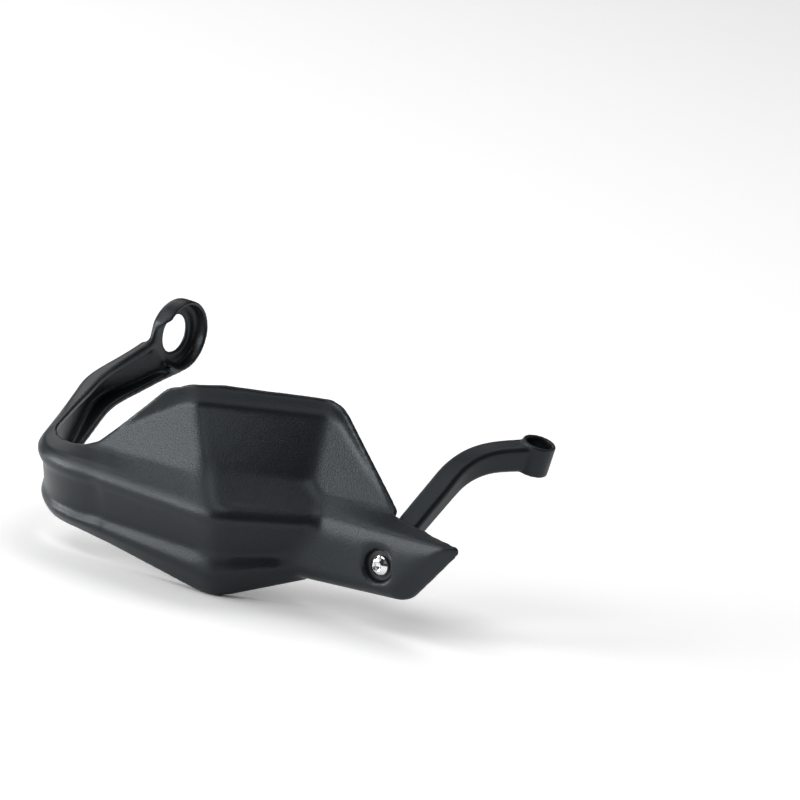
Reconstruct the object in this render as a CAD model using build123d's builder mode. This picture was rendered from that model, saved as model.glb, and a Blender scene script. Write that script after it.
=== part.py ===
from build123d import *
import os
from math import cos, radians, sin, tan
from typing import NamedTuple

# Motorcycle hand guard, right side. Millimetres.
# Origin: centre of the bar-end hole. X runs inward along the bar, Y to the rider, Z up.

# Wall and fits
WALL = 3.0
FLANGE_EDGE = 3.4
RUN_CLEAR = 0.15
SEAT_CLEAR = 0.05

# Bar-end eye
EYE_HOLE_R = 9.3
EYE_R = 17.75
EYE_WALL = 2.0
EYE_FLOOR = 2.5
EYE_DEPTH = 6.8
EYE_BACK = 4.6
EYE_BEVEL = 2.8
EYE_RECESS_R = 13.0
MOUTH_TOP = 38.0
MOUTH_TOP_FLOOR = 12.0
MOUTH_LOW = -55.0

# Plan of the nose line: eye, arm bend, outer bend, front corner, end inside the inner arm
REACH = 137.5
EYE_JOIN = Vector(-0.2, 4.0)
ARM_BEND = Vector(-17.0, -44.0)
OUTER_BEND = Vector(17.0, -REACH)
FRONT_CORNER = Vector(133.0, -REACH)
SWEEP_BACK = 42.0
CENTRE_RUN = 50.0
ARM_BEND_R = 38.0
OUTER_BEND_R = 43.0
FRONT_CORNER_R = 9.0
BAND_START_X = 64.0

# Details of the channel profile that stay the same all along
LEDGE_ROUND = 3.0
LEDGE_STEP = 5.4
RIDGE_SET = 1.5
RIDGE_FALL = 3.2
STEP_SET = 1.5
STEP_FALL = 1.6
SKIRT_OUT = 2.0
SKIRT_BACK = 1.0
SKIRT_IN = 3.0
SKIRT_NOSE = 0.38
SKIRT_CREASE = 0.58


class Station(NamedTuple):
    """Channel profile at one place: widths and heights in millimetres."""

    ledge: float
    rear_z: float
    drop: float
    groove: float
    wall: float
    skirt: float
    flange: float
    edge: float


AT_EYE = Station(6.5, 9.5, 1.0, 1.0, 18.0, 7.8, 6.0, 8.0)
BEND_IN = Station(9.2, -8.6, 2.6, 1.0, 12.0, 6.0, 11.4, 5.6)
AT_ARM_BEND = Station(10.2, -12.8, 3.2, 1.0, 11.0, 5.4, 12.4, 5.0)
BEND_OUT = Station(9.8, -15.6, 3.4, 1.0, 12.0, 5.8, 11.8, 4.6)
MID_ARM = Station(7.4, -21.5, 4.5, 1.0, 17.2, 7.8, 7.2, 4.2)
LOOP_IN = Station(7.8, -24.2, 7.6, 3.6, 18.9, 9.6, 4.8, 4.2)
AT_OUTER_BEND = Station(10.2, -25.5, 9.6, 7.6, 20.4, 9.4, 4.0, 4.2)
LOOP_OUT = Station(13.0, -23.8, 11.0, 9.3, 21.6, 9.7, 5.0, 4.2)
BAND_START = Station(13.5, -22.2, 13.0, 9.5, 21.2, 12.2, 5.0, 4.2)
LOOP = [
    (0.0, AT_EYE),
    (37.0, BEND_IN),
    (50.0, AT_ARM_BEND),
    (63.0, BEND_OUT),
    (91.0, MID_ARM),
    (118.0, LOOP_IN),
    (145.0, AT_OUTER_BEND),
    (170.0, LOOP_OUT),
    (188.0, BAND_START),
]
LOOP_STEPS = 16
AT_CORNER = Station(13.0, -25.6, 11.4, 9.5, 19.5, 22.0, 5.0, 4.2)
AT_INNER_ARM = Station(13.0, -25.6, 10.4, 9.0, 17.0, 13.0, 5.0, 4.2)

# Inner arm
ARM_START_X = 152.0
ARM_TIP_X = 249.5
ARM_HEEL_X = 223.0
ARM_FRONT_Y = -104.0
ARM_REAR_Y = -90.5
ARM_TIP_REAR_Y = -97.0
ARM_REAR_TURN_X = 200.0
ARM_TOP_Z = -14.0
ARM_TIP_TOP_Z = -26.4
ARM_TIP_LOW_Z = -30.5
ARM_TIP_R = 4.0
ARM_HEEL_Z = -60.2
ARM_BOTTOM_Z = -65.4
ARM_BROW_SET = 2.7
ARM_BROW_Z = -31.0
ARM_LEDGE_TURN_X = 205.5
ARM_LEDGE_SLOPE_START = 52.0
ARM_LEDGE_SLOPE_TURN = 33.0
ARM_LEDGE_SLOPE_TIP = 16.0
ARM_BEVEL_FALL = 7.6
ARM_BEVEL_RISE = 2.3
ARM_END_SET = 8.2
ARM_END_DEPTH = 7.0
ARM_BOTTOM_R = 7.0
ARM_HEEL_R = 11.0

# Deflector panel and the raised ledge in front of it
CREST_WIDTH = 18.8
CREST_Z = -18.4
PANEL_LEAN = 26.0
LIP_LEAN = 0.0
PANEL_SET = 11.5
PANEL_START_X = 41.0
PANEL_CREASE_X = 117.5
PANEL_CREASE_Z = -18.6
PANEL_CREASE_TOP_X = 98.2
PANEL_TOP_Z = 8.2
INNER_CREASE = Vector(157.0, ARM_FRONT_Y + 9.5, -21.8)
INNER_CREASE_TOP_X = 150.7
INNER_TOP_Z = 10.6
INNER_LEAN = 25.8
INNER_TURN = 4.2
PANEL_END_X = 205.4
PANEL_ROOT = 3.6
PANEL_RISE = 33.9
INNER_RISE = 34.3
PANEL_ROUND_R = 25.0
INNER_ROUND_R = 14.0
LIP_HEIGHT = 8.2
LIP_INNER_HEIGHT = 8.6
LIP_RISE = 47.0
LIP_INNER_RISE = 39.6
LIP_ROUND_R = 25.0
LIP_INNER_ROUND_R = 22.0
LIP_START_X = 51.0
LIP_TOE = 4.6
LIP_END_X = 205.6

# Screw seat
SCREW_X = 207.2
SCREW_Z = -45.8
RECESS_R = 8.2
RECESS_DEPTH = 4.4
SEAT_FLOOR = 3.0
SEAT_BOSS_R = 10.0
SCREW_R = 3.0
SCREW_LENGTH = 12.0
HEAD_R = 5.25
HEAD_H = 3.3
HEAD_RIM = 0.9
SOCKET_AF = 4.0
SOCKET_DEPTH = 2.0
WASHER_R = 7.4
WASHER_T = 1.0

# Bracket
PAD_W = 18.0
PAD_H = 19.0
PAD_T = 9.0
PAD_R = 3.0
INSERT_R = 4.0
INSERT_LENGTH = 8.0
STAY_W = 11.6
STAY_START_H = 10.0
STAY_END_H = 13.6
STAY_EDGE = 1.6
STAY_STEPS = 10
STAY_START_SIDE = 0.8
STAY_START_SET = 5.1
STAY_START_RISE = 9.2
STAY_BEND_SIDE = 5.2
STAY_BEND_BACK = 57.5
STAY_BEND_RISE = 45.4
STAY_BEND_REACH = 17.0
BOSS_SIDE = 27.4
BOSS_BACK = 83.7
BOSS_RISE = 55.2
BOSS_TILT = 13.0
BOSS_R = 8.2
BOSS_BORE_R = 6.3
BOSS_H = 15.4


# Places that follow from the sizes
RECESS_FLOOR_Y = ARM_FRONT_Y + RECESS_DEPTH
SEAT_REAR_Y = RECESS_FLOOR_Y + SEAT_FLOOR
HEAD_SEAT_Y = RECESS_FLOOR_Y - WASHER_T
STAY_START = Vector(SCREW_X + STAY_START_SIDE, SEAT_REAR_Y + STAY_START_SET, SCREW_Z + STAY_START_RISE)
STAY_BEND = Vector(SCREW_X + STAY_BEND_SIDE, ARM_FRONT_Y + STAY_BEND_BACK, SCREW_Z + STAY_BEND_RISE)
BOSS_TOP = Vector(SCREW_X + BOSS_SIDE, ARM_FRONT_Y + BOSS_BACK, SCREW_Z + BOSS_RISE)


def mix(a, b, share):
    """Station between two stations."""
    return Station(*(u + (v - u) * share for u, v in zip(a, b)))


def heading(deg):
    """Unit plan vector at an angle from X."""
    return Vector(cos(radians(deg)), sin(radians(deg)))


def profile(s):
    """Closed channel profile as (outward, height) points, outer skin first."""
    nose_z = s.rear_z - s.drop
    foot_z = nose_z - s.wall
    low_z = foot_z - s.skirt
    step_z = nose_z - min(RIDGE_FALL, 0.3 * s.wall)
    step_low_z = step_z - min(STEP_FALL, 0.15 * s.wall)
    ridge = min(RIDGE_SET, 0.3 * s.groove)
    step = ridge + min(STEP_SET, 0.3 * s.groove)
    skirt_nose = s.groove - min(SKIRT_OUT, 0.25 * s.groove)
    skirt_mid = skirt_nose + min(SKIRT_BACK, 0.15 * s.groove)
    hem = s.groove + min(SKIRT_IN, 0.3 * s.groove)
    flange_in = hem + s.flange
    round_z = nose_z + min(LEDGE_STEP, 0.6 * s.drop)
    return [
        (-s.ledge, s.rear_z),
        (-LEDGE_ROUND, round_z),
        (0.0, nose_z),
        (-ridge, step_z),
        (-step, step_low_z),
        (-s.groove, foot_z),
        (-skirt_nose, foot_z - SKIRT_NOSE * s.skirt),
        (-skirt_mid, foot_z - SKIRT_CREASE * s.skirt),
        (-hem, low_z),
        (-flange_in, low_z),
        (-flange_in, low_z + FLANGE_EDGE),
        (-hem - WALL, low_z + FLANGE_EDGE),
        (-s.groove - WALL, foot_z),
        (-ridge - WALL * 1.4, step_z),
        (-LEDGE_ROUND - WALL * 0.5, round_z - WALL),
        (-s.ledge, s.rear_z - s.edge),
    ]


def arc_stations(before, corner, after, radius, steps):
    """Plan points and headings round a corner of the nose line."""
    d1 = (corner - before).normalized()
    d2 = (after - corner).normalized()
    turn = d1.get_signed_angle(d2, Vector(0, 0, 1))
    reach = radius * tan(radians(abs(turn) / 2))
    side = 1 if turn > 0 else -1
    start = corner - d1 * reach
    centre = start + d1.rotate(Axis.Z, 90 * side) * radius
    spoke = start - centre
    found = []
    for i in range(steps + 1):
        angle = turn * i / steps
        found.append((centre + spoke.rotate(Axis.Z, angle), d1.rotate(Axis.Z, angle)))
    return found


def loop_state(distance):
    """Channel sizes at a distance from the eye along the nose line."""
    for (start, low), (stop, high) in zip(LOOP, LOOP[1:]):
        if distance < stop:
            return mix(low, high, (distance - start) / (stop - start))
    return BAND_START


def loop_run():
    """Placed profiles of the loop arm, evenly spaced along the rounded nose line."""
    with BuildLine() as line:
        Polyline(EYE_JOIN, ARM_BEND, OUTER_BEND, (BAND_START_X, OUTER_BEND.Y))
        fillet(line.vertices().sort_by_distance(ARM_BEND)[0], ARM_BEND_R)
        fillet(line.vertices().sort_by_distance(OUTER_BEND)[0], OUTER_BEND_R)
    nose = line.wire()
    if (nose @ 0 - EYE_JOIN).length > (nose @ 1 - EYE_JOIN).length:
        raise ValueError("the nose line starts at the eye")
    run = []
    for i in range(LOOP_STEPS + 1):
        share = i / LOOP_STEPS
        run.append((nose @ share, nose % share, 1.0, loop_state(nose.length * share)))
    return run


def channel_runs():
    """Placed profiles along the nose line: the loop arm, the band, its corner and the centre."""
    run_end = FRONT_CORNER + heading(SWEEP_BACK) * CENTRE_RUN
    corner = arc_stations(OUTER_BEND, FRONT_CORNER, run_end, FRONT_CORNER_R, 4)
    mitre = heading(SWEEP_BACK / 2)
    stretch = 1 / cos(radians(SWEEP_BACK / 2))
    loop = loop_run()
    front_corner = [(point, mitre, stretch, AT_CORNER) for point, _ in corner]
    band = [loop[-1], front_corner[0]]
    centre = [front_corner[-1], (run_end, heading(SWEEP_BACK), 1.0, AT_INNER_ARM)]
    return [loop, band, front_corner, centre]


def plane_through(p, q, r, inset):
    """Plane through three points, moved inward by the inset."""
    return Plane(origin=p, x_dir=q - p, z_dir=(q - p).cross(r - p)).offset(-inset)


def ledge_cut(inset):
    """Everything above the arm's twisted ledge, lowered by the inset."""
    cuts = []
    for x, slope in (
        (ARM_START_X - ARM_END_SET, ARM_LEDGE_SLOPE_START),
        (ARM_LEDGE_TURN_X, ARM_LEDGE_SLOPE_TURN),
        (ARM_TIP_X + ARM_END_SET, ARM_LEDGE_SLOPE_TIP),
    ):
        fall = tan(radians(slope))
        brow_z = ARM_BROW_Z + tan(radians(ARM_BEVEL_RISE)) * (x - ARM_START_X) - inset / cos(radians(slope))
        front_y = ARM_FRONT_Y - ARM_END_SET
        back_y = ARM_REAR_Y + ARM_END_SET
        brow_y = ARM_FRONT_Y + ARM_BROW_SET
        with BuildSketch(Plane.YZ.offset(x), mode=Mode.PRIVATE) as cut:
            with BuildLine():
                Polyline(
                    (front_y, brow_z + fall * (front_y - brow_y)),
                    (back_y, brow_z + fall * (back_y - brow_y)),
                    (back_y, EYE_R),
                    (front_y, EYE_R),
                    close=True,
                )
            make_face()
        cuts.append(cut.sketch)
    with BuildPart(mode=Mode.PRIVATE) as above:
        for pair in zip(cuts, cuts[1:]):
            loft(sections=pair, ruled=True)
    return above.part


def arm_form(inset, rear_y):
    """Inner arm as a bevelled bar, or its hollow when inset by the wall."""
    end = Vector(ARM_TIP_X - ARM_HEEL_X, 0, ARM_TIP_LOW_Z - ARM_HEEL_Z).normalized()
    end_in = Vector(-end.Z, 0, end.X)
    brow = Vector(ARM_START_X, ARM_FRONT_Y + ARM_BROW_SET, ARM_BROW_Z)
    tip = Vector(ARM_TIP_X, ARM_TIP_REAR_Y, ARM_TIP_TOP_Z)
    rear_turn = Vector(ARM_REAR_TURN_X, ARM_REAR_Y, ARM_TIP_TOP_Z)
    chin = Vector(ARM_START_X, ARM_FRONT_Y, brow.Z - ARM_BEVEL_FALL)
    bevel_way = Vector(1, 0, tan(radians(ARM_BEVEL_RISE)))
    tip_low = Vector(ARM_TIP_X, ARM_FRONT_Y + ARM_END_DEPTH, ARM_TIP_LOW_Z)
    end_front = tip_low + end_in * ARM_END_SET - Vector(0, ARM_END_DEPTH, 0)
    with BuildPart() as form:
        with BuildSketch(Plane.XZ.offset(-rear_y)):
            with BuildLine():
                Polyline(
                    (ARM_START_X - inset, ARM_TOP_Z),
                    (ARM_REAR_TURN_X, ARM_TOP_Z),
                    (ARM_TIP_X, ARM_TIP_TOP_Z),
                    (ARM_TIP_X, ARM_TIP_LOW_Z),
                    (ARM_HEEL_X, ARM_HEEL_Z),
                    (ARM_START_X - inset, ARM_BOTTOM_Z),
                    close=True,
                )
            make_face()
            heel = vertices().sort_by_distance((ARM_HEEL_X, ARM_HEEL_Z))[0]
            fillet(heel, ARM_HEEL_R)
            if not inset:
                tip_top = vertices().sort_by_distance((ARM_TIP_X, ARM_TIP_TOP_Z))[0]
                fillet(tip_top, ARM_TIP_R)
            else:
                offset(amount=-inset, kind=Kind.INTERSECTION, mode=Mode.REPLACE)
        extrude(amount=rear_y - ARM_FRONT_Y - inset)
        front = form.faces().sort_by(Axis.Y)[0]
        fillet(front.edges().sort_by(Axis.Z)[0], ARM_BOTTOM_R - inset)
        add(ledge_cut(inset), mode=Mode.SUBTRACT)
        if not inset:
            split(bisect_by=plane_through(rear_turn, tip, rear_turn + Vector(0, 0, 1), 0), keep=Keep.TOP)
        split(bisect_by=plane_through(brow, brow + bevel_way, chin, -inset), keep=Keep.TOP)
        split(bisect_by=plane_through(tip_low, tip_low + end, end_front, inset), keep=Keep.BOTTOM)
    return form.part


arm_solid = arm_form(0.0, ARM_REAR_Y)
arm_hollow = arm_form(WALL, ARM_REAR_Y + EYE_R)


def wall_slice(foot, rise, back):
    """Four-sided slice of the panel wall from its root to above the lip."""
    low = foot - rise * PANEL_ROOT
    high = foot + rise * (PANEL_TOP_Z - foot.Z + 2 * LIP_HEIGHT)
    at = Plane(origin=low, x_dir=back, z_dir=back.cross(rise))
    with BuildSketch(at, mode=Mode.PRIVATE) as cut:
        with BuildLine():
            Polyline(*(at.to_local_coords(p) for p in (low, high, high + back, low + back)), close=True)
        make_face()
    return cut.sketch


def mitre_back(way_in, way_out, depth):
    """Plan step from the front of a bent wall to its back."""
    middle = radians((way_in + way_out) / 2)
    stretch = depth / cos(radians((way_out - way_in) / 2))
    return Vector(-sin(middle), cos(middle)) * stretch


def rim_outline(toe, start_x, toe_rise, rise, top_z, top_in_z, end_x, end_z, rise_in, radius, radius_in):
    """Front view of the panel edge: a toe, two slopes and a top with rounded corners."""
    start_z = toe.Z + toe_rise
    top_x = start_x + (top_z - start_z) / tan(radians(rise))
    top_in_x = end_x - (top_in_z - end_z) / tan(radians(rise_in))
    floor = toe.Z - EYE_R
    corners = [(toe.X, floor), (toe.X, toe.Z), (start_x, start_z), (top_x, top_z), (top_in_x, top_in_z)]
    if start_x == toe.X:
        corners.pop(1)
    with BuildSketch(Plane.XZ, mode=Mode.PRIVATE) as rim:
        with BuildLine():
            Polyline(
                *corners, (end_x, end_z), (end_x, floor), close=True,
            )
        make_face()
        fillet(rim.vertices().sort_by_distance((top_x, 0, top_z))[0], radius)
        fillet(rim.vertices().sort_by_distance((top_in_x, 0, top_in_z))[0], radius_in)
    return rim.sketch


def foot_z(state):
    """Height of the ledge where the panel stands on it."""
    low = state.rear_z - state.drop + LEDGE_STEP
    share = (PANEL_SET - LEDGE_ROUND) / (state.ledge - LEDGE_ROUND)
    return low + (state.rear_z - low) * share


def ledge_z(x):
    """Height of the panel's foot along the outer band."""
    share = (x - BAND_START_X) / (PANEL_CREASE_X - BAND_START_X)
    return foot_z(BAND_START) + (PANEL_CREASE_Z - foot_z(BAND_START)) * share


def ledge_crest(crease):
    """Raised ledge that rises from the bend to the panel's outer crease and runs on to the arm."""
    corner_out = (FRONT_CORNER - Vector(crease.X, crease.Y)).normalized()
    corner_width = (FRONT_CORNER - Vector(crease.X, crease.Y)).length
    band_at = Vector(BAND_START_X, -REACH)
    run_out = heading(SWEEP_BACK - 90)
    run_end = FRONT_CORNER + heading(SWEEP_BACK) * CENTRE_RUN
    corner_brow = corner_width * LEDGE_ROUND / PANEL_SET
    ends = (
        (band_at, Vector(0, -1), LEDGE_ROUND, BAND_START.ledge, BAND_START.rear_z, BAND_START),
        (FRONT_CORNER, corner_out, corner_brow, corner_width + WALL / 2, crease.Z + WALL / 3, AT_CORNER),
        (run_end, run_out, LEDGE_ROUND, CREST_WIDTH, CREST_Z, AT_INNER_ARM),
    )
    cuts = []
    for point, out, brow, rear, rear_z, state in ends:
        brow_z = state.rear_z - state.drop + LEDGE_STEP
        at = Plane(origin=(point.X, point.Y, 0), x_dir=out, z_dir=out.cross(Vector(0, 0, 1)))
        with BuildSketch(at, mode=Mode.PRIVATE) as cut:
            with BuildLine():
                Polyline((-brow, brow_z), (-rear, rear_z), (-rear, (rear_z + brow_z) / 2), close=True)
            make_face()
        cuts.append(cut.sketch)
    with BuildPart(mode=Mode.PRIVATE) as crest:
        for pair in zip(cuts, cuts[1:]):
            loft(sections=pair, ruled=True)
    return crest.part


# Deflector panel: a leaning wall in three facets with a turned-up lip
lean = tan(radians(PANEL_LEAN))
foot_y = OUTER_BEND.Y + PANEL_SET
depth = WALL / cos(radians(PANEL_LEAN))
start_foot = Vector(PANEL_START_X, foot_y, ledge_z(PANEL_START_X))
crease_foot = Vector(PANEL_CREASE_X, foot_y, PANEL_CREASE_Z)
crease_top_y = foot_y + lean * (PANEL_TOP_Z - ledge_z(PANEL_CREASE_TOP_X))
crease_top = Vector(PANEL_CREASE_TOP_X, crease_top_y, PANEL_TOP_Z)
crease_rise = (crease_top - crease_foot) / (crease_top.Z - crease_foot.Z)
inner_lean = tan(radians(INNER_LEAN))
inner_run = Vector(1, tan(radians(INNER_TURN)), 0)
inner_dx = INNER_CREASE_TOP_X - INNER_CREASE.X
inner_dz = INNER_TOP_Z - INNER_CREASE.Z
inner_rise = Vector(inner_dx, inner_lean * inner_dz + inner_run.Y * inner_dx, inner_dz) / inner_dz
inner_end = INNER_CREASE + inner_run * (PANEL_END_X - INNER_CREASE.X)
centre_way = (INNER_CREASE - crease_foot).get_angle(Vector(1, 0, 0))

with BuildPart() as panel:
    loft(
        sections=[
            wall_slice(start_foot, Vector(0, lean, 1), mitre_back(0, 0, depth)),
            wall_slice(crease_foot, crease_rise, mitre_back(0, centre_way, depth)),
            wall_slice(INNER_CREASE, inner_rise, mitre_back(centre_way, INNER_TURN, depth)),
            wall_slice(inner_end, Vector(0, inner_lean, 1), mitre_back(INNER_TURN, INNER_TURN, depth)),
        ],
        ruled=True,
    )
    facet_rim = rim_outline(
        start_foot, PANEL_START_X, 0.0, PANEL_RISE, PANEL_TOP_Z, INNER_TOP_Z,
        PANEL_END_X, inner_end.Z, INNER_RISE, PANEL_ROUND_R, INNER_ROUND_R,
    )
    extrude(facet_rim, amount=-2 * OUTER_BEND.Y, mode=Mode.INTERSECT)
    rim_faces = panel.faces().filter_by(lambda f: abs(f.normal_at().Y) < 0.001 and f.normal_at().Z > 0.3)
    for face in rim_faces:
        extrude(face, amount=2 * LIP_HEIGHT, dir=(0, sin(radians(LIP_LEAN)), cos(radians(LIP_LEAN))))
    lip_rim = rim_outline(
        start_foot, LIP_START_X, LIP_TOE, LIP_RISE, PANEL_TOP_Z + LIP_HEIGHT, INNER_TOP_Z + LIP_INNER_HEIGHT,
        LIP_END_X, inner_end.Z, LIP_INNER_RISE, LIP_ROUND_R, LIP_INNER_ROUND_R,
    )
    extrude(lip_rim, amount=-2 * OUTER_BEND.Y, mode=Mode.INTERSECT)

# Bar-end eye: a shallow cup with a washer recess outside, its rim open where the arm comes in
with BuildPart() as eye:
    with BuildSketch(Plane.XY):
        with BuildLine():
            Polyline(
                (-EYE_FLOOR, EYE_HOLE_R),
                (-EYE_FLOOR, EYE_RECESS_R),
                (-EYE_BACK, EYE_RECESS_R),
                (-EYE_BACK, EYE_R - EYE_BEVEL),
                (-EYE_BACK + EYE_BEVEL, EYE_R),
                (EYE_DEPTH, EYE_R),
                (EYE_DEPTH, EYE_R - EYE_WALL),
                (0, EYE_R - EYE_WALL),
                (0, EYE_HOLE_R),
                close=True,
            )
        make_face()
    revolve(axis=Axis.X)
    mouth = []
    for at_x, top in ((0, MOUTH_TOP_FLOOR), (EYE_DEPTH, MOUTH_TOP)):
        with BuildSketch(Plane.YZ.offset(at_x), mode=Mode.PRIVATE) as gap:
            with BuildLine():
                Polyline(
                    (0, 0),
                    heading(180 - top) * 2 * EYE_R,
                    heading(180 - MOUTH_LOW) * 2 * EYE_R,
                    close=True,
                )
            make_face()
        mouth.append(gap.sketch)
    loft(sections=mouth, ruled=True, mode=Mode.SUBTRACT)

# Guard shell: the channel band from the eye to the inner arm
with BuildPart() as guard_shell:
    for run in channel_runs():
        slices = []
        for point, way, stretch, state in run:
            out = Vector(way.Y, -way.X)
            with BuildSketch(
                Plane(origin=(point.X, point.Y, 0), x_dir=out, z_dir=out.cross(Vector(0, 0, 1))),
                mode=Mode.PRIVATE,
            ) as slice_at:
                with BuildLine():
                    Polyline(*((o * stretch, z) for o, z in profile(state)), close=True)
                make_face()
            slices.append(slice_at.sketch)
        loft(sections=slices, ruled=len(slices) == 2)
    add(ledge_crest(crease_foot))
    add(arm_solid, mode=Mode.SUBTRACT)
    with BuildSketch(Plane.YZ):
        Circle(EYE_R - EYE_WALL / 2)
    extrude(amount=2 * EYE_R, both=True, mode=Mode.SUBTRACT)
    add(arm_solid)
    add(panel.part)
    add(arm_hollow, mode=Mode.SUBTRACT)

    add(eye.part)

    # Screw seat: a boss behind the front wall, with a recess and a clear hole
    with BuildSketch(Plane.XZ.offset(-SEAT_REAR_Y)):
        with Locations((SCREW_X, SCREW_Z)):
            Circle(SEAT_BOSS_R)
    extrude(amount=SEAT_FLOOR + RECESS_DEPTH - WALL / 2)
    with BuildSketch(Plane.XZ.offset(-ARM_FRONT_Y)):
        with Locations((SCREW_X, SCREW_Z)):
            Circle(RECESS_R)
    extrude(amount=-RECESS_DEPTH, mode=Mode.SUBTRACT)
    with BuildSketch(Plane.XZ.offset(-ARM_FRONT_Y)):
        with Locations((SCREW_X, SCREW_Z)):
            Circle(SCREW_R + RUN_CLEAR)
    extrude(amount=-2 * (RECESS_DEPTH + SEAT_FLOOR), mode=Mode.SUBTRACT)
guard_shell.part.label = "guard_shell"

# Bracket: pad behind the screw seat, bent stay, and the eye for the lever clamp
boss_axis = Vector(sin(radians(BOSS_TILT)), 0, cos(radians(BOSS_TILT)))
stay_end = BOSS_TOP - boss_axis * (STAY_END_H / 2)
stay_out = (STAY_BEND - STAY_START).normalized()
stay_in = (stay_end - STAY_BEND).normalized()


def stay_slice(point, way, height):
    """Bar section of the stay with bevelled edges, its top square to the boss."""
    with BuildSketch(Plane(origin=point, x_dir=way.cross(boss_axis), z_dir=way), mode=Mode.PRIVATE) as cut:
        Rectangle(STAY_W, height)
        chamfer(cut.vertices(), STAY_EDGE)
    return cut.sketch


with BuildLine() as stay_line:
    bend_in = STAY_BEND - stay_out * STAY_BEND_REACH
    bend_out = STAY_BEND + stay_in * STAY_BEND_REACH
    Line(STAY_START, bend_in)
    Bezier(bend_in, STAY_BEND, bend_out)
    Line(bend_out, stay_end)
stay_run = stay_line.wire()

with BuildPart() as bracket:
    shares = [i / STAY_STEPS for i in range(STAY_STEPS + 1)]
    loft(
        sections=[
            stay_slice(stay_run @ t, stay_run % t, STAY_START_H + (STAY_END_H - STAY_START_H) * t)
            for t in shares
        ]
    )
    with BuildSketch(Plane.XZ.offset(-SEAT_REAR_Y)):
        with Locations((SCREW_X, SCREW_Z)):
            RectangleRounded(PAD_W, PAD_H, PAD_R)
    extrude(amount=-PAD_T)
    with BuildSketch(Plane(origin=BOSS_TOP, z_dir=boss_axis)):
        Circle(BOSS_R)
    extrude(amount=-BOSS_H)
    with BuildSketch(Plane(origin=BOSS_TOP, z_dir=boss_axis)):
        Circle(BOSS_BORE_R)
    extrude(amount=-2 * BOSS_H, both=True, mode=Mode.SUBTRACT)
    with BuildSketch(Plane.XZ.offset(-SEAT_REAR_Y)):
        with Locations((SCREW_X, SCREW_Z)):
            Circle(INSERT_R + SEAT_CLEAR)
    extrude(amount=-INSERT_LENGTH, mode=Mode.SUBTRACT)
bracket.part.label = "bracket"

# Threaded bush in the pad
with BuildPart() as thread_insert:
    with BuildSketch(Plane.XZ.offset(-SEAT_REAR_Y)):
        with Locations((SCREW_X, SCREW_Z)):
            Circle(INSERT_R)
            Circle(SCREW_R + RUN_CLEAR, mode=Mode.SUBTRACT)
    extrude(amount=-INSERT_LENGTH)
thread_insert.part.label = "thread_insert"

# Washer on the floor of the recess
with BuildPart() as washer:
    with BuildSketch(Plane.XZ.offset(-RECESS_FLOOR_Y)):
        with Locations((SCREW_X, SCREW_Z)):
            Circle(WASHER_R)
            Circle(SCREW_R + RUN_CLEAR, mode=Mode.SUBTRACT)
    extrude(amount=WASHER_T)
washer.part.label = "washer"

# Button-head screw
with BuildPart() as button_screw:
    with BuildSketch(Plane.XZ.offset(-RECESS_FLOOR_Y + WASHER_T)):
        with Locations((SCREW_X, SCREW_Z)):
            Circle(SCREW_R)
    extrude(amount=-SCREW_LENGTH)
    with BuildSketch(Plane(origin=(SCREW_X, HEAD_SEAT_Y, SCREW_Z), x_dir=(1, 0, 0), z_dir=(0, 0, 1))):
        with BuildLine():
            crown = HEAD_H - HEAD_RIM
            Polyline(
                (0, -HEAD_H),
                (0, 0),
                (HEAD_R, 0),
                (HEAD_R, -HEAD_RIM),
                (HEAD_R * 0.88, -HEAD_RIM - crown * 0.44),
                (HEAD_R * 0.64, -HEAD_RIM - crown * 0.8),
                (HEAD_R * 0.36, -HEAD_H),
                close=True,
            )
        make_face()
    revolve(axis=Axis((SCREW_X, HEAD_SEAT_Y, SCREW_Z), (0, 1, 0)))
    with BuildSketch(Plane.XZ.offset(-HEAD_SEAT_Y + HEAD_H)):
        with Locations((SCREW_X, SCREW_Z)):
            RegularPolygon(SOCKET_AF / 2, 6, major_radius=False)
    extrude(amount=-SOCKET_DEPTH, mode=Mode.SUBTRACT)
button_screw.part.label = "button_screw"

os.makedirs("parts", exist_ok=True)
for piece in (guard_shell, bracket, thread_insert, washer, button_screw):
    export_step(piece.part, f"parts/{piece.part.label}.step")
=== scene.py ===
"""Looks of a motorcycle hand guard: softened mouldings, grained plastic, bright screw, pale studio."""

import logging
import math
from dataclasses import dataclass, field
from enum import Enum

import bmesh
import bpy
import numpy as np
from mathutils import Matrix, Vector


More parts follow.
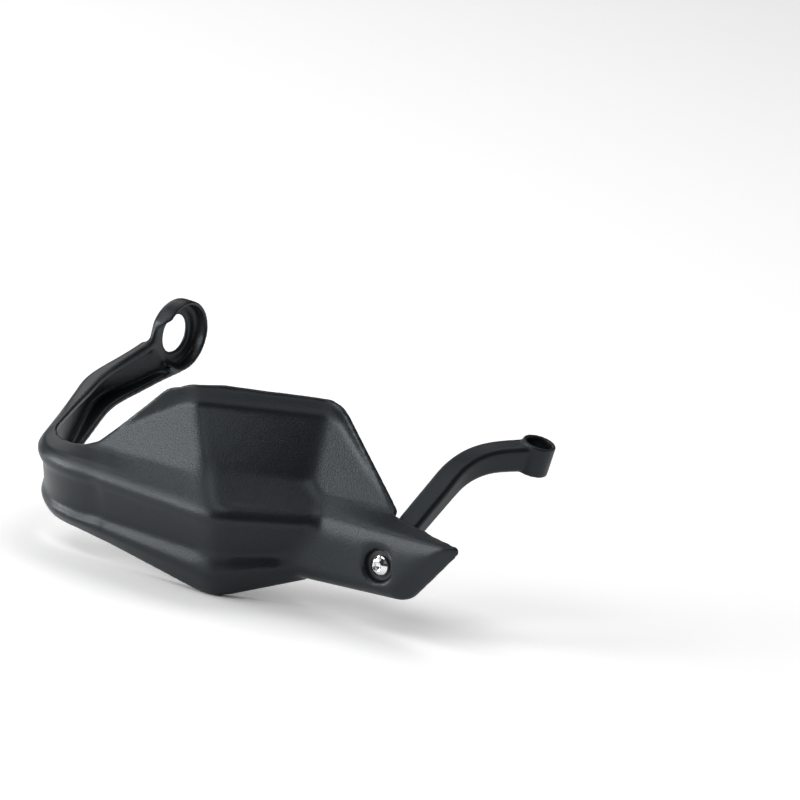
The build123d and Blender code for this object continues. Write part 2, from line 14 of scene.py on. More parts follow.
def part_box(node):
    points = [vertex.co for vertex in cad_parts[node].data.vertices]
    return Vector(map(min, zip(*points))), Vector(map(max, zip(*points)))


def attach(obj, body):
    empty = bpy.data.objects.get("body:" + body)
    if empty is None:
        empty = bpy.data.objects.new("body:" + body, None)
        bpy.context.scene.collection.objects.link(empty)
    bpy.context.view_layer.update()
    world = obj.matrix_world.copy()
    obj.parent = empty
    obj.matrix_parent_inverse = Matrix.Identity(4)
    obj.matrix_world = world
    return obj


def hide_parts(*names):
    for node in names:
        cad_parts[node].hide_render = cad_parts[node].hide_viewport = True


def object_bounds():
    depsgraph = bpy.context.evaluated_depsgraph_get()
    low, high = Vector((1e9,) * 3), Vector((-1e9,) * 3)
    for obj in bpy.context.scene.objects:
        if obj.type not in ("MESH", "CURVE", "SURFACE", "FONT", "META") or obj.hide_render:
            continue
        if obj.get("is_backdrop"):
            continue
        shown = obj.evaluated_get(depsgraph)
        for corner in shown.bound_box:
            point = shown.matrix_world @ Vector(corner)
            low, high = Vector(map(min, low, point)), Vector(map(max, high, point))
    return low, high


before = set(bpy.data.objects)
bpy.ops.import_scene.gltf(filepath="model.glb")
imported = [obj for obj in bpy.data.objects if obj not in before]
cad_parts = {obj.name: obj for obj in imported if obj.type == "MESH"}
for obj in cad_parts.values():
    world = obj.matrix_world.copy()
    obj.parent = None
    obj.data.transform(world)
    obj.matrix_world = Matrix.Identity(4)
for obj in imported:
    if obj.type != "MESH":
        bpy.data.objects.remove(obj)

LOG = logging.getLogger("hand_guard")
MM = 0.001
IMAGE_PX = 800
MERGE_MM = 0.002
MIX_A, MIX_B, MIX_RESULT = 6, 7, 2

Point = tuple[float, float, float]
Colour = tuple[float, float, float, float]
WHITE: Colour = (1.0, 1.0, 1.0, 1.0)


class Node(Enum):
    """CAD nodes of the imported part."""

    SHELL = "guard_shell"
    STAY = "bracket"
    SCREW = "button_screw"
    WASHER = "washer"
    INSERT = "thread_insert"


class Slot(Enum):
    """Material slots of the record."""

    SHELL = "shell_plastic"
    STAY = "bracket_plastic"
    SCREW = "bright_screw"
    WASHER = "dark_washer"
    INSERT = "insert_brass"


class NodeTree:
    """Small helper that adds and joins shader nodes of one material."""

    def __init__(self, name: str) -> None:
        """Starts a material with an output and a Principled shader.

        Args:
            name: the material's name.
        """
        self.material = bpy.data.materials.new(name)
        self.material.use_nodes = True
        self.tree = self.material.node_tree
        self.shader = self.tree.nodes["Principled BSDF"]

    def add(self, kind: str, **values: object) -> bpy.types.Node:
        """Adds a node.

        Args:
            kind: Blender's name of the node type.
            values: properties of the node, or values of inputs by their names with _ for a space.

        Returns:
            The new node.
        """
        node = self.tree.nodes.new(kind)
        for key, value in values.items():
            if hasattr(node, key):
                setattr(node, key, value)
            else:
                node.inputs[key.replace("_", " ")].default_value = value
        return node

    def join(self, source: bpy.types.NodeSocket, target: bpy.types.NodeSocket) -> None:
        """Links two sockets.

        Args:
            source: the output.
            target: the input.
        """
        self.tree.links.new(source, target)

    def set(self, **values: object) -> None:
        """Sets inputs of the Principled shader.

        Args:
            values: values of inputs by their names with _ for a space.
        """
        for key, value in values.items():
            self.shader.inputs[key.replace("_", " ")].default_value = value


@dataclass(frozen=True)
class GrainedPlastic:
    """Matte moulded plastic with the fine spark-eroded grain of the tool."""

    name: str
    dark: Colour = (0.0068, 0.0084, 0.0104, 1.0)
    light: Colour = (0.0092, 0.0112, 0.0136, 1.0)
    sheen_tint: Colour = (0.86, 0.94, 1.0, 1.0)
    sheen_level: float = 0.4
    roughness: float = 0.37
    roughness_spread: float = 0.05
    grain_mm: float = 0.75
    grain_depth_mm: float = 0.17
    grain_strength: float = 0.75
    flow_mm: float = 45.0
    flow_share: float = 0.6

    def material(self) -> bpy.types.Material:
        """Builds the material.

        Returns:
            The material, patterned on Object coordinates.
        """
        nodes = NodeTree(self.name)
        place = nodes.add("ShaderNodeTexCoord").outputs["Object"]
        grain = nodes.add("ShaderNodeTexNoise", Scale=1 / (self.grain_mm * MM), Detail=2.0, Roughness=0.6)
        flow = nodes.add("ShaderNodeTexNoise", Scale=1 / (self.flow_mm * MM), Detail=3.0, Roughness=0.5)
        for pattern in (grain, flow):
            nodes.join(place, pattern.inputs["Vector"])
        tint = nodes.add("ShaderNodeMix", data_type="RGBA")
        tint.inputs[MIX_A].default_value = self.dark
        tint.inputs[MIX_B].default_value = self.light
        spread = nodes.add("ShaderNodeMath", operation="ADD", use_clamp=True)
        nodes.join(grain.outputs["Fac"], spread.inputs[0])
        centred = nodes.add("ShaderNodeMath", operation="MULTIPLY_ADD")
        centred.inputs[1].default_value = self.flow_share
        centred.inputs[2].default_value = -self.flow_share / 2
        nodes.join(flow.outputs["Fac"], centred.inputs[0])
        nodes.join(centred.outputs["Value"], spread.inputs[1])
        nodes.join(spread.outputs["Value"], tint.inputs[0])
        nodes.join(tint.outputs[MIX_RESULT], nodes.shader.inputs["Base Color"])
        gloss = nodes.add("ShaderNodeMapRange")
        gloss.inputs["To Min"].default_value = self.roughness - self.roughness_spread
        gloss.inputs["To Max"].default_value = self.roughness + self.roughness_spread
        nodes.join(flow.outputs["Fac"], gloss.inputs["Value"])
        nodes.join(gloss.outputs["Result"], nodes.shader.inputs["Roughness"])
        bump = nodes.add("ShaderNodeBump", Strength=self.grain_strength, Distance=self.grain_depth_mm * MM)
        nodes.join(grain.outputs["Fac"], bump.inputs["Height"])
        nodes.join(bump.outputs["Normal"], nodes.shader.inputs["Normal"])
        nodes.set(Specular_IOR_Level=self.sheen_level, Specular_Tint=self.sheen_tint)
        return nodes.material


@dataclass(frozen=True)
class TurnedMetal:
    """Bare or plated metal with faint turning marks."""

    name: str
    colour: Colour
    roughness: float
    mark_mm: float = 0.12
    mark_depth_mm: float = 0.01
    mark_strength: float = 0.05
    gloss_spread: float = 0.2
    metallic: float = 1.0

    def material(self) -> bpy.types.Material:
        """Builds the material.

        Returns:
            The material, patterned on Object coordinates.
        """
        nodes = NodeTree(self.name)
        place = nodes.add("ShaderNodeTexCoord").outputs["Object"]
        marks = nodes.add("ShaderNodeTexNoise", Scale=1 / (self.mark_mm * MM), Detail=1.0)
        nodes.join(place, marks.inputs["Vector"])
        gloss = nodes.add("ShaderNodeMapRange")
        gloss.inputs["To Min"].default_value = self.roughness * (1.0 - self.gloss_spread)
        gloss.inputs["To Max"].default_value = self.roughness * (1.0 + self.gloss_spread)
        nodes.join(marks.outputs["Fac"], gloss.inputs["Value"])
        nodes.join(gloss.outputs["Result"], nodes.shader.inputs["Roughness"])
        bump = nodes.add("ShaderNodeBump", Strength=self.mark_strength, Distance=self.mark_depth_mm * MM)
        nodes.join(marks.outputs["Fac"], bump.inputs["Height"])
        nodes.join(bump.outputs["Normal"], nodes.shader.inputs["Normal"])
        nodes.set(Base_Color=self.colour, Metallic=self.metallic)
        return nodes.material


def evaluated_mesh(piece: bpy.types.Object) -> bpy.types.Mesh:
    """Gives the mesh that a piece's modifiers make.

    Args:
        piece: the object with its modifiers.

    Returns:
        A new plain mesh.
    """
    graph = bpy.context.evaluated_depsgraph_get()
    return bpy.data.meshes.new_from_object(piece.evaluated_get(graph))


def new_piece(name: str, mesh: bpy.types.Mesh) -> bpy.types.Object:
    """Adds an object at the origin of the scene.

    Args:
        name: the object's name.
        mesh: its mesh.

    Returns:
        The new object.
    """
    piece = bpy.data.objects.new(name, mesh)
    bpy.context.scene.collection.objects.link(piece)
    return piece


def dress(piece: bpy.types.Object, material: bpy.types.Material, node: Node) -> None:
    """Gives a piece its finish and its body, and hides the CAD node that it stands for.

    Args:
        piece: the finished object.
        material: its material.
        node: the CAD node that it replaces.
    """
    piece.data.materials.clear()
    piece.data.materials.append(material)
    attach(piece, "root")
    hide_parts(node.value)
    LOG.info("%s: %d faces", piece.name, len(piece.data.polygons))


@dataclass(frozen=True)
class SoftLine:
    """An edge of a moulding that has a larger round than the rest."""

    name: str
    points: tuple[Point, ...]
    reach_mm: float
    strength: float

    def weights(self, places: np.ndarray) -> np.ndarray:
        """Gives each place its share in the rounding.

        Args:
            places: points of the moulding in metres.

        Returns:
            One weight for each point, 0 beyond the reach.
        """
        nearest = np.full(len(places), np.inf)
        for start, end in zip(self.points, self.points[1:]):
            foot = np.array(start) * MM
            along = np.array(end) * MM - foot
            share = np.clip((places - foot) @ along / (along @ along), 0.0, 1.0)
            gap = np.linalg.norm(places - foot - share[:, None] * along, axis=1)
            nearest = np.minimum(nearest, gap)
        fade = np.clip(1.0 - np.square(nearest / (self.reach_mm * MM)), 0.0, 1.0)
        return self.strength * np.square(fade)


@dataclass(frozen=True)
class LipLean:
    """The forward lean and the outward reach of the panel's lip, which grow from the fold to the rim."""

    fold: tuple[tuple[float, float], ...]
    span_x: tuple[float, float, float, float]
    way_x: tuple[float, ...]
    way: tuple[tuple[float, float], ...]
    height_mm: float
    lean_mm: float
    rise_x: tuple[float, ...]
    rise_mm: tuple[float, ...]
    front_y: float
    share_limit: float = 1.2
    lean_bend: float = 1.3

    def outside(self, places: np.ndarray) -> np.ndarray:
        """Gives how far each place lies outside the fold, seen from the front.

        Args:
            places: points of the moulding in metres.

        Returns:
            One offset (x, z) in mm for each point, 0 inside the fold.
        """
        flat = places[:, (0, 2)] / MM
        nearest = np.full(len(flat), np.inf)
        outside = np.zeros(flat.shape)
        for start, end in zip(self.fold, self.fold[1:]):
            along = np.subtract(end, start)
            offset = flat - start
            share = np.clip(offset @ along / (along @ along), 0.0, 1.0)
            away = offset - share[:, None] * along
            gap = np.linalg.norm(away, axis=1)
            side = along[0] * offset[:, 1] - along[1] * offset[:, 0]
            closer = (gap < nearest)[:, None]
            outside = np.where(closer, np.where(side[:, None] > 0.0, away, 0.0), outside)
            nearest = np.minimum(nearest, gap)
        return outside

    def apply(self, places: np.ndarray) -> None:
        """Leans the lip and moves its rim outwards.

        Args:
            places: points of the moulding in metres, changed in place.
        """
        x = places[:, 0] / MM
        outside = self.outside(places)
        share = np.clip(np.linalg.norm(outside, axis=1) / self.height_mm, 0.0, self.share_limit)
        share *= np.interp(x, self.span_x, (0.0, 1.0, 1.0, 0.0))
        share *= places[:, 1] / MM > self.front_y
        move = np.power(share, self.lean_bend) * self.lean_mm * MM
        rise = np.interp(x, self.rise_x, self.rise_mm) / self.height_mm * MM
        places[:, (0, 2)] += outside * (share * rise)[:, None]
        for axis in (0, 1):
            places[:, axis] += move * np.interp(x, self.way_x, [way[axis] for way in self.way])


class Skin:
    """Points of an even mesh, which can follow their neighbours."""

    def __init__(self, mesh: bpy.types.Mesh) -> None:
        """Reads the points and edges of a mesh.

        Args:
            mesh: the even mesh.
        """
        self.mesh = mesh
        self.count = len(mesh.vertices)
        flat = np.empty(self.count * 3)
        mesh.vertices.foreach_get("co", flat)
        self.points = flat.reshape(-1, 3)
        ends = np.empty(len(mesh.edges) * 2, dtype=np.int64)
        mesh.edges.foreach_get("vertices", ends)
        self.first, self.second = ends.reshape(-1, 2).T
        self.degree = np.bincount(ends, minlength=self.count)[:, None]

    def follow(self, rate: float | np.ndarray, passes: int) -> None:
        """Lets each point move towards the middle of its neighbours.

        Args:
            rate: share of the way, one for all points or one for each.
            passes: how often they move.
        """
        middle = np.empty_like(self.points)
        for _ in range(passes):
            for axis in range(3):
                middle[:, axis] = np.bincount(self.first, self.points[self.second, axis], self.count)
                middle[:, axis] += np.bincount(self.second, self.points[self.first, axis], self.count)
            self.points += (middle / self.degree - self.points) * rate

    def write(self) -> bpy.types.Mesh:
        """Puts the moved points back.

        Returns:
            The mesh with its moved points.
        """
        self.mesh.vertices.foreach_set("co", self.points.ravel())
        self.mesh.update()
        return self.mesh


@dataclass
class Moulding:
    """A moulded piece: the CAD solid with the soft edges that a mould gives."""

    name: str
    node: Node
    slot: Slot
    finish: GrainedPlastic
    fine_mm: float
    fine_passes: int
    voxel_mm: float
    passes: int
    rate: float = 0.5
    soft_lines: tuple[SoftLine, ...] = ()
    soft_passes: int = 0
    lean: LipLean | None = None

    def merged_copy(self) -> bpy.types.Mesh:
        """Copies the CAD mesh with its loose triangles merged.

        Returns:
            The copy.
        """
        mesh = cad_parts[self.node.value].data.copy()
        work = bmesh.new()
        work.from_mesh(mesh)
        bmesh.ops.remove_doubles(work, verts=work.verts, dist=MERGE_MM * MM)
        work.to_mesh(mesh)
        work.free()
        return mesh

    def even_skin(self, solid: bpy.types.Mesh, voxel_mm: float) -> Skin:
        """Covers a solid with an even fine mesh.

        Args:
            solid: the solid's mesh.
            voxel_mm: the size of the new faces.

        Returns:
            The new mesh's skin.
        """
        raw = new_piece(self.name + "_raw", solid)
        even = raw.modifiers.new("even", "REMESH")
        even.mode = "VOXEL"
        even.voxel_size = voxel_mm * MM
        mesh = evaluated_mesh(raw)
        bpy.data.objects.remove(raw)
        return Skin(mesh)

    def softened(self) -> bpy.types.Mesh:
        """Rounds all edges a little on a fine skin, then the soft lines on an even coarser one.

        Returns:
            The rounded mesh.
        """
        fine = self.even_skin(self.merged_copy(), self.fine_mm)
        fine.follow(self.rate, self.fine_passes)
        skin = self.even_skin(fine.write(), self.voxel_mm)
        if self.lean:
            self.lean.apply(skin.points)
        skin.follow(self.rate, self.passes)
        if self.soft_lines:
            weight = np.max([line.weights(skin.points) for line in self.soft_lines], axis=0)[:, None]
            skin.follow(self.rate * weight, self.soft_passes)
        return skin.write()

    def build(self) -> bpy.types.Object:
        """Builds and dresses the moulding.

        Returns:
            The finished piece.
        """
        mesh = self.softened()
        mesh.shade_smooth()
        piece = new_piece(self.name, mesh)
        dress(piece, self.finish.material(), self.node)
        return piece


@dataclass
class TurnedPiece:
    """A piece whose rings lie round an axis along Y, head towards the front."""

    name: str
    node: Node
    slot: Slot
    finish: TurnedMetal
    steps: int = 96
    sharp_deg: float = 35.0

    def axis_point(self) -> Vector:
        """Gives the middle of the CAD node's box."""
        low, high = (Vector(corner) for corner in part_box(self.node.value))
        return (low + high) / 2

    def ring(self, radius: float | np.ndarray, y: float) -> np.ndarray:
        """Places one ring.

        Args:
            radius: the ring's radius in mm, or one radius for each step.
            y: the ring's place along the axis in metres.

        Returns:
            The ring's points.
        """
        turn = np.arange(self.steps) * (2 * math.pi / self.steps)
        centre = self.axis_point()
        reach = np.broadcast_to(np.asarray(radius, dtype=float) * MM, turn.shape)
        return np.column_stack(
            (centre.x + reach * np.cos(turn), np.full(self.steps, y), centre.z + reach * np.sin(turn))
        )

    def stack(self, rings: list[np.ndarray], closed: bool) -> bpy.types.Mesh:
        """Joins rings into a skin.

        Args:
            rings: the rings in order.
            closed: joins the last ring to the first; otherwise both ends are capped.

        Returns:
            The mesh, with its faces pointing outwards.
        """
        work = bmesh.new()
        loops = [[work.verts.new(point) for point in ring] for ring in rings]
        pairs = list(zip(loops, loops[1:]))
        if closed:
            pairs.append((loops[-1], loops[0]))
        for low, high in pairs:
            for i in range(self.steps):
                j = (i + 1) % self.steps
                work.faces.new((low[i], low[j], high[j], high[i]))
        if not closed:
            work.faces.new(loops[0])
            work.faces.new(loops[-1])
        bmesh.ops.recalc_face_normals(work, faces=work.faces)
        mesh = bpy.data.meshes.new(self.name)
        work.to_mesh(mesh)
        work.free()
        return mesh

    def finished(self, mesh: bpy.types.Mesh) -> bpy.types.Object:
        """Shades and dresses the piece.

        Args:
            mesh: its skin.

        Returns:
            The finished piece.
        """
        mesh.shade_smooth()
        mesh.set_sharp_from_angle(angle=math.radians(self.sharp_deg))
        piece = new_piece(self.name, mesh)
        dress(piece, self.finish.material(), self.node)
        return piece


@dataclass
class ButtonScrew(TurnedPiece):
    """Round-headed screw with a hex socket."""

    head_r: float = 5.25
    head_h: float = 3.3
    rim_h: float = 0.9
    rim_round: float = 0.35
    rim_inset: float = 0.06
    seat_bevel: float = 0.15
    shank_r: float = 3.0
    tip_bevel: float = 0.6
    socket_af: float = 4.0
    socket_depth: float = 2.0
    socket_bevel: float = 0.22
    socket_foot: float = 0.1
    foot_share: float = 0.97
    drill_depth: float = 0.45
    drill_share: float = 0.25
    dome_start: float = 0.1
    dome_rings: int = 14

    def hex_radius(self, across: float) -> np.ndarray:
        """Gives the radius of a hexagon at each step.

        Args:
            across: size across the flats in mm.

        Returns:
            One radius for each step.
        """
        turn = np.arange(self.steps) * (2 * math.pi / self.steps)
        side = (turn + math.pi / 6) % (math.pi / 3) - math.pi / 6
        return across / 2 / np.cos(side)

    def dome_h(self, radius: float | np.ndarray) -> float | np.ndarray:
        """Gives the dome's height above the seat.

        Args:
            radius: one distance from the axis in mm, or several.

        Returns:
            The height in mm at each distance.
        """
        fall = self.head_h - self.rim_h
        sphere = (self.head_r**2 + fall**2) / (2 * fall)
        return self.head_h - sphere + np.sqrt(sphere**2 - np.square(radius))

    def head_ring(self, radius: float | np.ndarray, height: float) -> np.ndarray:
        """Places one ring of the head.

        Args:
            radius: the ring's radius in mm, or one radius for each step.
            height: its height above the seat in mm.

        Returns:
            The ring's points.
        """
        crown_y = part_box(self.node.value)[0][1]
        seat_y = crown_y + float(self.dome_h(self.socket_af / 2)) * MM
        return self.ring(radius, seat_y - height * MM)

    def build(self) -> bpy.types.Object:
        """Builds and dresses the screw.

        Returns:
            The finished piece.
        """
        tip_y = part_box(self.node.value)[1][1]
        mouth = self.socket_af / 2 / math.cos(math.pi / 6) + self.socket_bevel
        top = float(self.dome_h(mouth))
        floor = top - self.socket_depth
        socket = self.hex_radius(self.socket_af)
        rings = [
            self.head_ring(socket * self.drill_share, floor - self.drill_depth),
            self.head_ring(socket * self.foot_share, floor),
            self.head_ring(socket, floor + self.socket_foot),
            self.head_ring(socket, top - self.socket_bevel),
            self.head_ring(mouth, top),
        ]
        for radius in np.linspace(mouth + self.dome_start, self.head_r - self.rim_round, self.dome_rings):
            rings.append(self.head_ring(radius, float(self.dome_h(radius))))
        rings += [
            self.head_ring(self.head_r - self.rim_inset, self.rim_h),
            self.head_ring(self.head_r, self.rim_h - self.rim_round),
            self.head_ring(self.head_r, self.seat_bevel),
            self.head_ring(self.head_r - self.seat_bevel, 0.0),
            self.head_ring(self.shank_r, 0.0),
            self.ring(self.shank_r, tip_y - self.tip_bevel * MM),
            self.ring(self.shank_r - self.tip_bevel, tip_y),
        ]
        return self.finished(self.stack(rings, closed=False))


@dataclass
class FlatWasher(TurnedPiece):
    """Dark ring under the screw head."""

    outer_r: float = 7.4
    inner_r: float = 3.2
    edge: float = 0.25

    def build(self) -> bpy.types.Object:
        """Builds and dresses the washer.

        Returns:
            The finished piece.
        """
        low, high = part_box(self.node.value)
        front, back = low[1], high[1]
        edge = self.edge * MM
        rings = [
            self.ring(self.inner_r, front + edge),
            self.ring(self.inner_r + self.edge, front),
            self.ring(self.outer_r - self.edge, front),
            self.ring(self.outer_r, front + edge),
            self.ring(self.outer_r, back - edge),
            self.ring(self.outer_r - self.edge, back),
            self.ring(self.inner_r + self.edge, back),
            self.ring(self.inner_r, back - edge),
        ]
        return self.finished(self.stack(rings, closed=True))


@dataclass
class BrassInsert:
    """Threaded bush inside the stay's pad: the CAD node with a metal finish."""

    finish: TurnedMetal

    def build(self) -> bpy.types.Object:
        """Dresses the CAD node.

        Returns:
            The node's object.
        """
        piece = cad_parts[Node.INSERT.value]
        piece.data.materials.clear()
        piece.data.materials.append(self.finish.material())
        LOG.info("%s: finish only", piece.name)
        return piece


@dataclass(frozen=True)
class SoftBox:
    """One studio light with a square face, aimed at the guard."""

    name: str
    turn: float
    rise: float
    width: float
    height: float
    power: float
    distance: float = 1.6

    def way(self) -> Vector:
        """Gives the way to the light: turn counts from the front to the left, rise from level."""
        turn, rise = math.radians(self.turn), math.radians(self.rise)
        return Vector((-math.sin(turn) * math.cos(rise), -math.cos(turn) * math.cos(rise), math.sin(rise)))

    def place(self, target: Vector) -> None:
        """Adds the light.

        Args:
            target: the point that it faces.
        """
        lamp = bpy.data.lights.new(self.name, "AREA")
        lamp.shape = "RECTANGLE"
        lamp.size = self.width
        lamp.size_y = self.height
        lamp.energy = self.power
        holder = bpy.data.objects.new(self.name, lamp)
        bpy.context.scene.collection.objects.link(holder)
        way = self.way()
        holder.location = target + way * self.distance
        holder.rotation_mode = "QUATERNION"
        holder.rotation_quaternion = (-way).to_track_quat("-Z", "Y")


@dataclass
class Studio:
    """Pale floor, soft light and the camera at the photograph's angle."""

    azimuth: float = 35.33
    elevation: float = 16.02
    roll: float = 6.54
    distance: float = 7.041
    px_per_mm: float = 2.1
    axis_mm: Point = (155.48, -90.57, -22.61)
    axis_px: tuple[float, float] = (312.26, 487.77)
    sensor_mm: float = 36.0
    clip_m: float = 100.0
    floor_m: float = 14.0
    floor_colour: Colour = (0.92, 0.92, 0.92, 1.0)
    floor_roughness: float = 0.9
    floor_glow: float = 0.42
    # painted shade on the floor's glow: reach, power and samples of the ambient occlusion that dims it
    # near the guard
    painted_shade_reach_m: float = 0.065
    painted_shade_power: float = 3.0
    painted_shade_samples: int = 4
    world_colour: Colour = WHITE
    world_strength: float = 0.03
    lights: list[SoftBox] = field(default_factory=lambda: [
        SoftBox("key_left", 40.0, 22.0, 0.7, 0.4, 7.0),
        SoftBox("key_front", 30.0, 30.0, 1.0, 0.8, 1.9),
        SoftBox("low_left", 60.0, 7.0, 0.8, 0.35, 12.0),
        SoftBox("low_front", 32.0, 8.0, 0.5, 0.22, 3.2),
        SoftBox("high_left", 66.0, 46.0, 0.55, 0.45, 3.5),
        SoftBox("top_front", 0.0, 66.0, 0.9, 0.7, 5.8),
        SoftBox("top_back", 180.0, 66.0, 0.9, 0.7, 5.0),
        SoftBox("rim_left", 120.0, 30.0, 1.0, 0.8, 3.3),
        SoftBox("fill_right", 315.0, 30.0, 1.0, 0.8, 0.4),
        SoftBox("fill_inside", 225.0, 14.0, 0.9, 0.5, 2.2),
    ])

    def camera(self) -> None:
        """Adds the camera, so that the point on its axis falls on its place in the picture."""
        a, e, r = (math.radians(v) for v in (self.azimuth, self.elevation, self.roll))
        back = Vector((math.sin(a) * math.cos(e), -math.cos(a) * math.cos(e), math.sin(e)))
        level = Vector((math.cos(a), math.sin(a), 0.0))
        right = level * math.cos(r) + back.cross(level) * math.sin(r)
        up = back.cross(right)
        half = IMAGE_PX / 2
        scale = MM / self.px_per_mm
        axis = Vector(self.axis_mm) * MM
        target = axis + right * (half - self.axis_px[0]) * scale + up * (self.axis_px[1] - half) * scale
        stand = axis + back * self.distance
        back = (stand - target).normalized()
        right = up.cross(back).normalized()
        up = back.cross(right)
        lens = bpy.data.cameras.new("camera")
        lens.sensor_width = self.sensor_mm
        lens.lens = self.distance * self.sensor_mm / (IMAGE_PX * scale)
        lens.clip_end = self.clip_m
        holder = bpy.data.objects.new("camera", lens)
        bpy.context.scene.collection.objects.link(holder)
        turn = Matrix((right, up, back)).transposed().to_4x4()
        holder.matrix_world = Matrix.Translation(stand) @ turn
        bpy.context.scene.camera = holder

    def floor(self, level: float) -> None:
        """Adds the pale floor, which keeps the shadow, and whose glow carries painted shade that darkens
        it close to the guard.

        Args:
            level: the floor's height in metres.
        """
        work = bmesh.new()
        bmesh.ops.create_grid(work, x_segments=1, y_segments=1, size=self.floor_m)
        bmesh.ops.translate(work, verts=work.verts, vec=(0.0, 0.0, level))
        mesh = bpy.data.meshes.new("floor")
        work.to_mesh(mesh)
        work.free()
        piece = new_piece("floor", mesh)
        nodes = NodeTree("pale_floor")
        path = nodes.add("ShaderNodeLightPath")
        # painted shade: ambient occlusion, raised to a power, dims the floor's glow close to the guard
        open_sky = nodes.add("ShaderNodeAmbientOcclusion", Distance=self.painted_shade_reach_m)
        open_sky.samples = self.painted_shade_samples
        painted_contact_shade = nodes.add("ShaderNodeMath", operation="POWER")
        painted_contact_shade.inputs[1].default_value = self.painted_shade_power
        nodes.join(open_sky.outputs["AO"], painted_contact_shade.inputs[0])
        level_glow = nodes.add("ShaderNodeMath", operation="MULTIPLY")
        level_glow.inputs[1].default_value = self.floor_glow
        nodes.join(painted_contact_shade.outputs["Value"], level_glow.inputs[0])
        glow = nodes.add("ShaderNodeMath", operation="MULTIPLY")
        nodes.join(level_glow.outputs["Value"], glow.inputs[1])
        seen = nodes.add("ShaderNodeMath", operation="MAXIMUM")
        mirrored = nodes.add("ShaderNodeMath", operation="MAXIMUM")
        nodes.join(path.outputs["Is Glossy Ray"], mirrored.inputs[0])
        nodes.join(path.outputs["Is Transmission Ray"], mirrored.inputs[1])
        nodes.join(path.outputs["Is Camera Ray"], seen.inputs[0])
        nodes.join(mirrored.outputs["Value"], seen.inputs[1])
        nodes.join(seen.outputs["Value"], glow.inputs[0])
        nodes.join(glow.outputs["Value"], nodes.shader.inputs["Emission Strength"])
        nodes.set(Base_Color=self.floor_colour, Roughness=self.floor_roughness, Emission_Color=WHITE)
        mesh.materials.append(nodes.material)
        piece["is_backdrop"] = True

    def world(self) -> None:
        """Sets a dim even surround."""
        world = bpy.data.worlds.new("surround")
        world.use_nodes = True
        bpy.context.scene.world = world
        tree = world.node_tree
        shade = tree.nodes["Background"]
        shade.inputs["Color"].default_value = self.world_colour
        shade.inputs["Strength"].default_value = self.world_strength
        bpy.context.scene.view_settings.view_transform = "Standard"

    def build(self, low: Vector, high: Vector) -> None:
        """Builds the studio round the guard's box.

        Args:
            low: the box's lowest corner.
            high: the box's highest corner.
        """
        self.world()
        self.floor(low.z)
        for light in self.lights:
            light.place((low + high) / 2)
        self.camera()


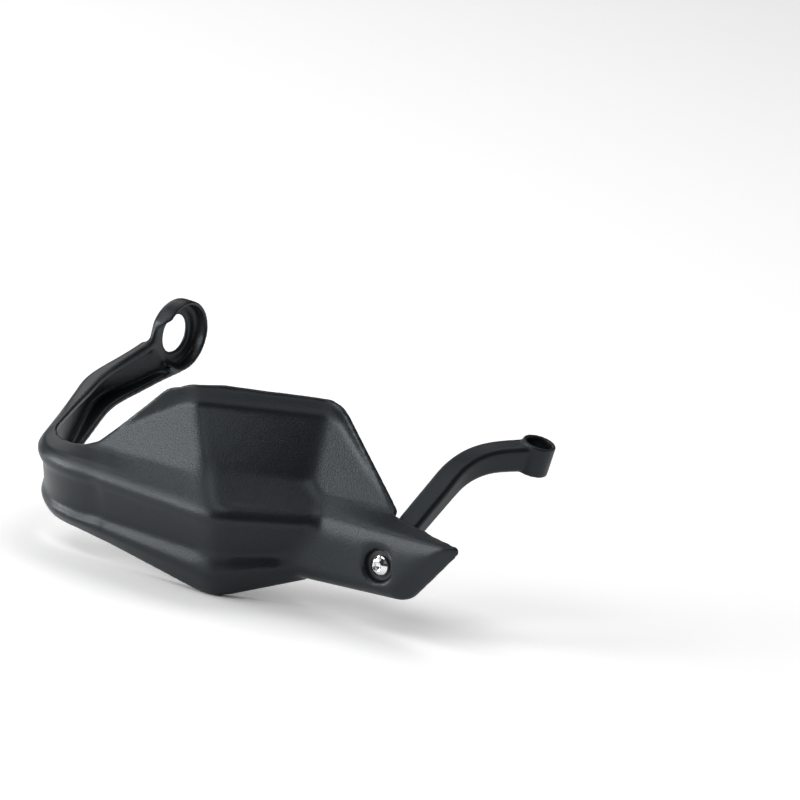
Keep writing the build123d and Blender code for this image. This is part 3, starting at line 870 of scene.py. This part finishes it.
def shell_lines() -> tuple[SoftLine, ...]:
    """Lists the edges of the shell that the mould rounds most.

    Returns:
        The soft lines, in mm.
    """
    nose_corner = (131.0, -135.5, -36.0)
    crest_corner = (117.5, -126.0, -18.6)
    inner_corner = (157.0, -94.5, -21.8)
    arm_corner = (168.0, -104.0, -37.4)
    arm_low = (231.7, -104.0, -35.6)
    return (
        SoftLine("nose", ((-8.0, -120.0, -34.0), (20.0, -136.5, -33.5), (64.0, -137.0, -32.5),
                          nose_corner, (165.0, -107.0, -33.0)), 8.0, 0.45),
        SoftLine("front_corner", (crest_corner, nose_corner), 14.0, 0.9),
        SoftLine("wall_corner", (nose_corner, (129.4, -128.5, -56.5), (128.3, -125.2, -73.0)), 12.0, 0.7),
        SoftLine("centre_ledge", (crest_corner, inner_corner), 7.0, 0.4),
        SoftLine("outer_crease", (crest_corner, (98.2, -112.9, 8.2)), 10.0, 0.25),
        SoftLine("inner_crease", (inner_corner, (150.7, -78.8, 10.6)), 10.0, 0.35),
        SoftLine("lip_fold", ((80.0, -116.2, 1.4), (85.8, -114.4, 5.1), (98.2, -112.9, 8.2),
                              (150.7, -78.8, 10.6), (160.5, -80.0, 7.7), (184.0, -86.0, -8.3)), 4.0, 0.15),
        SoftLine("inner_root", ((150.0, -98.0, -20.5), inner_corner, (163.0, -96.0, -26.0)), 8.0, 0.3),
        SoftLine("arm_step", (inner_corner, (163.0, -98.0, -30.0), arm_corner, (154.0, -104.0, -54.0),
                              (156.0, -104.0, -61.0)), 7.0, 0.8),
        SoftLine("arm_brow", ((165.9, -101.3, -30.4), (244.0, -97.0, -27.7)), 5.0, 0.4),
        SoftLine("arm_chin", (arm_corner, arm_low, (214.5, -104.0, -56.3)), 6.0, 0.5),
        SoftLine("eye_root", ((-2.0, -18.0, 4.0), (0.0, -16.4, -5.0), (0.0, -12.0, -12.0),
                              (0.0, -4.0, -17.0)), 6.0, 0.5),
    )


def shell_lip() -> LipLean:
    """Gives the shell's lip its lean and reach.

    Returns:
        The lean, in mm.
    """
    return LipLean(
        fold=((60.0, -11.6), (85.8, 5.1), (98.2, 8.2), (150.7, 10.6), (160.5, 7.7), (204.0, -22.0)),
        span_x=(54.0, 84.0, 180.0, 204.0),
        way_x=(96.0, 106.0, 146.0, 157.0),
        way=((0.0, -1.0), (0.62, -0.78), (0.62, -0.78), (0.07, -1.0)),
        height_mm=8.2,
        lean_mm=2.4,
        rise_x=(82.0, 88.0, 96.0, 106.0, 124.0, 148.0, 156.0, 164.0, 184.0),
        rise_mm=(0.0, -0.9, 0.3, 1.5, 0.75, 0.0, 0.55, 2.0, 2.2),
        front_y=-129.0,
    )


def main() -> None:
    """Builds the pieces in order, then the studio."""
    logging.basicConfig(level=logging.INFO, format="%(name)s %(message)s")
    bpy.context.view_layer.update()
    plastic = GrainedPlastic("grained_plastic")
    stay_plastic = GrainedPlastic("stay_plastic", roughness=0.44)
    Moulding(
        "shell", Node.SHELL, Slot.SHELL, plastic, fine_mm=0.45, fine_passes=16, voxel_mm=0.86, passes=2,
        soft_lines=shell_lines(), soft_passes=87, lean=shell_lip(),
    ).build()
    Moulding(
        "stay", Node.STAY, Slot.STAY, stay_plastic, fine_mm=0.3, fine_passes=12, voxel_mm=0.5, passes=2
    ).build()
    ButtonScrew(
        "screw", Node.SCREW, Slot.SCREW,
        TurnedMetal("bright_chrome", colour=(0.80, 0.80, 0.82, 1.0), roughness=0.12),
    ).build()
    FlatWasher(
        "dark_ring", Node.WASHER, Slot.WASHER,
        TurnedMetal("satin_black", colour=(0.018, 0.019, 0.021, 1.0), roughness=0.42, metallic=0.0),
    ).build()
    BrassInsert(
        TurnedMetal("turned_brass", colour=(0.72, 0.52, 0.24, 1.0), roughness=0.28, mark_strength=0.15)
    ).build()
    low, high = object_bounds()
    Studio().build(low, high)
    LOG.info("boxes written")


if __name__ == "__main__":
    main()
